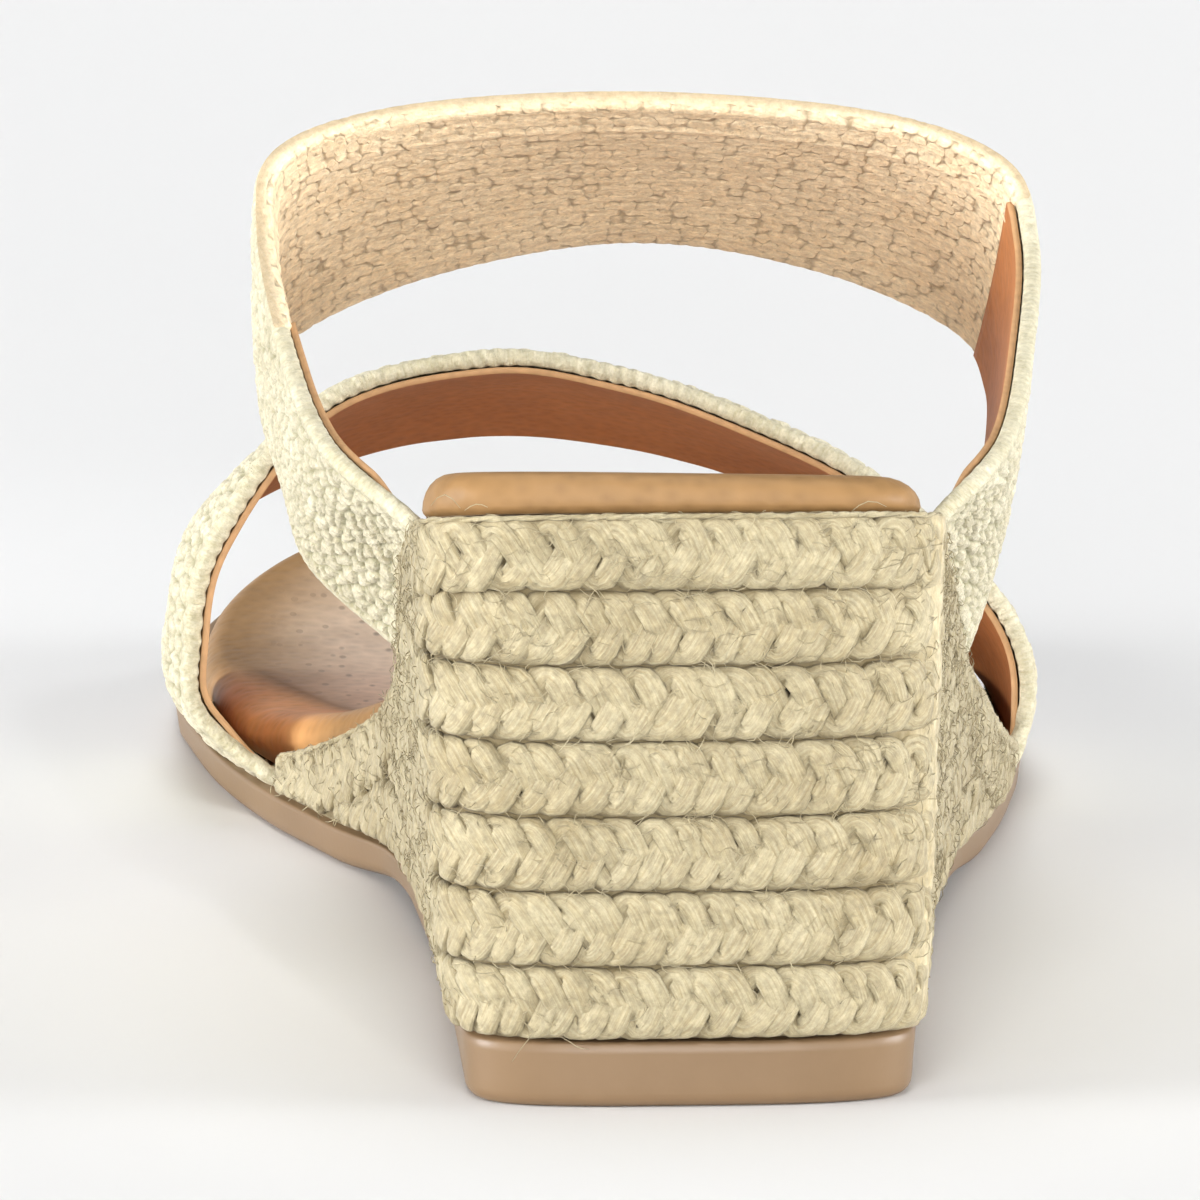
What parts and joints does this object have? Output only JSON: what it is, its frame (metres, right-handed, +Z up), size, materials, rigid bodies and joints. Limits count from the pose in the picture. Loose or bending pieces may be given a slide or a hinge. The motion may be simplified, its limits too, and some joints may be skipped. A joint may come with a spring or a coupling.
{
  "type": "wedge mule",
  "caption": "Open-toed wedge mule with a braided jute wedge, padded leather footbed, rubber outsole, a woven toe strap and a woven instep strap.",
  "frame": {"origin": "on the floor, under the middle of the shoe's length and width", "axes": "+Y from heel to toe, +X towards the outer side of the right foot, +Z up"},
  "size_m": [0.0945, 0.2514, 0.0892],
  "materials": {
    "rubber": "smooth tan rubber, faint gloss",
    "jute": "raw plaited jute, matte",
    "leather": "tan leather with a soft sheen",
    "woven_fibre": "close weave of twisted natural fibre, matte"
  },
  "bodies": {
    "root": {"outsole": "rubber", "jute_wedge": "jute", "insole": "leather", "instep_strap": "woven_fibre", "toe_strap": "woven_fibre"}
  },
  "joints": []
}
